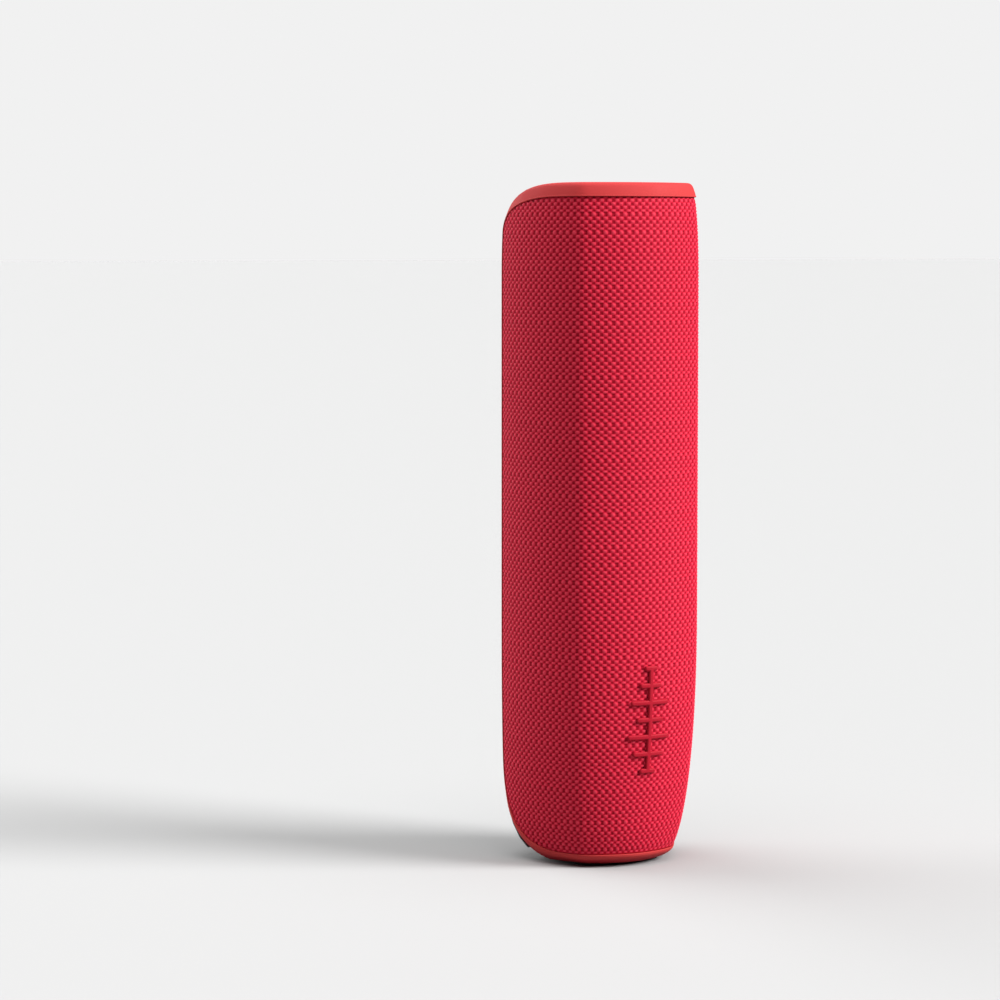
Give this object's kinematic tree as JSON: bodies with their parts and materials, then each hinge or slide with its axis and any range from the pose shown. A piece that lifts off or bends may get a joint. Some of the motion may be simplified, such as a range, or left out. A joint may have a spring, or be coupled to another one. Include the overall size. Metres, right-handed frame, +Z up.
{
  "type": "portable speaker",
  "caption": "Slim upright portable speaker with a woven cloth cover in a plastic rim, a black rear shell, top buttons, a rear passive radiator and a port flap.",
  "frame": {"origin": "centre of the bounding box in X and Y, on the resting plane under the rubber foot", "axes": "+Z up along the height, front of the cloth cover towards -Y, rear shell towards +Y, +X towards the right-hand side seen from behind the cover, that is the viewer's right when facing the front"},
  "size_m": [0.0532, 0.0492, 0.19],
  "materials": {
    "cloth": "woven cloth, plain weave, crimson",
    "rim_plastic": "satin soft-touch plastic, light red",
    "mark_plastic": "satin plastic, red",
    "black_plastic": "fine-grained black plastic",
    "grey_plastic": "dark grey plastic",
    "button_rubber": "dark grey silicone",
    "foot_rubber": "dark rubber",
    "surround_rubber": "black butyl rubber",
    "cone_paper": "dark coated paper pulp",
    "spider_cloth": "resin-dipped cloth",
    "steel": "zinc-plated steel",
    "radiator_metal": "anodised aluminium",
    "cell_wrap": "shrink-wrapped cell",
    "board": "green solder mask",
    "wire_red": "insulated wire",
    "ribbon": "polyimide ribbon",
    "light": "clear milky light pipe"
  },
  "bodies": {
    "enclosure": {"rear_shell": "black_plastic", "front_baffle": "grey_plastic", "top_panel": "black_plastic", "base_plate": "black_plastic", "rubber_foot": "foot_rubber", "light_pipe": "light", "upper_driver_frame": "grey_plastic", "upper_driver_motor": "steel", "upper_driver_surround": "surround_rubber", "upper_driver_spider": "spider_cloth", "upper_driver_screw_1": "steel", "upper_driver_screw_2": "steel", "upper_driver_screw_3": "steel", "upper_driver_screw_4": "steel", "lower_driver_frame": "grey_plastic", "lower_driver_motor": "steel", "lower_driver_surround": "surround_rubber", "lower_driver_spider": "spider_cloth", "lower_driver_screw_1": "steel", "lower_driver_screw_2": "steel", "lower_driver_screw_3": "steel", "lower_driver_screw_4": "steel", "radiator_frame": "grey_plastic", "radiator_surround": "surround_rubber", "battery_cell_left": "cell_wrap", "battery_cell_right": "cell_wrap", "battery_holder": "black_plastic", "main_board": "board", "control_board": "board", "usb_port": "steel", "aux_jack": "black_plastic", "control_ribbon": "ribbon", "upper_driver_lead": "wire_red", "lower_driver_lead": "wire_red", "baffle_screw_1": "steel", "baffle_screw_2": "steel", "baffle_screw_3": "steel", "baffle_screw_4": "steel", "base_screw_1": "steel", "base_screw_2": "steel"},
    "cover": {"fabric_skin": "cloth", "cover_rim": "rim_plastic", "cover_carrier": "black_plastic", "level_mark": "mark_plastic"},
    "upper_cone": {"upper_driver_cone": "cone_paper", "upper_driver_dust_cap": "cone_paper"},
    "lower_cone": {"lower_driver_cone": "cone_paper", "lower_driver_dust_cap": "cone_paper"},
    "radiator": {"radiator_plate": "radiator_metal", "radiator_weight": "steel"},
    "flap": {"port_flap": "button_rubber"},
    "key_power": {"button_power": "button_rubber"},
    "key_volume_down": {"button_volume_down": "button_rubber"},
    "key_play": {"button_play": "button_rubber"},
    "key_volume_up": {"button_volume_up": "button_rubber"},
    "key_pairing": {"button_pairing": "button_rubber"}
  },
  "joints": [
    {"name": "cover_off", "type": "slide", "parent": "enclosure", "child": "cover", "axis": [0, -1, 0], "range_m": [0, 0.06]},
    {"name": "upper_cone_travel", "type": "slide", "parent": "enclosure", "child": "upper_cone", "axis": [0, 1, 0], "range_m": [-0.0015, 0.0015], "stiffness_N_per_m": 900},
    {"name": "lower_cone_travel", "type": "slide", "parent": "enclosure", "child": "lower_cone", "axis": [0, 1, 0], "range_m": [-0.0015, 0.0015], "stiffness_N_per_m": 900},
    {"name": "radiator_travel", "type": "slide", "parent": "enclosure", "child": "radiator", "axis": [0, 1, 0], "range_m": [-0.0025, 0.0025], "stiffness_N_per_m": 900},
    {"name": "power_press", "type": "slide", "parent": "enclosure", "child": "key_power", "axis": [0, 0, -1], "range_m": [0, 0.0008], "stiffness_N_per_m": 1500, "springref_m": -0.0004},
    {"name": "volume_down_press", "type": "slide", "parent": "enclosure", "child": "key_volume_down", "axis": [0, 0, -1], "range_m": [0, 0.0008], "stiffness_N_per_m": 1500, "springref_m": -0.0004},
    {"name": "play_press", "type": "slide", "parent": "enclosure", "child": "key_play", "axis": [0, 0, -1], "range_m": [0, 0.0008], "stiffness_N_per_m": 1500, "springref_m": -0.0004},
    {"name": "volume_up_press", "type": "slide", "parent": "enclosure", "child": "key_volume_up", "axis": [0, 0, -1], "range_m": [0, 0.0008], "stiffness_N_per_m": 1500, "springref_m": -0.0004},
    {"name": "pairing_press", "type": "slide", "parent": "enclosure", "child": "key_pairing", "axis": [0, 0, -1], "range_m": [0, 0.0008], "stiffness_N_per_m": 1500, "springref_m": -0.0004},
    {"name": "flap_hinge", "type": "hinge", "parent": "enclosure", "child": "flap", "pos_m": [0, 0.0239, 0.0205], "axis": [-1, 0, 0], "range_deg": [0, 100]}
  ]
}
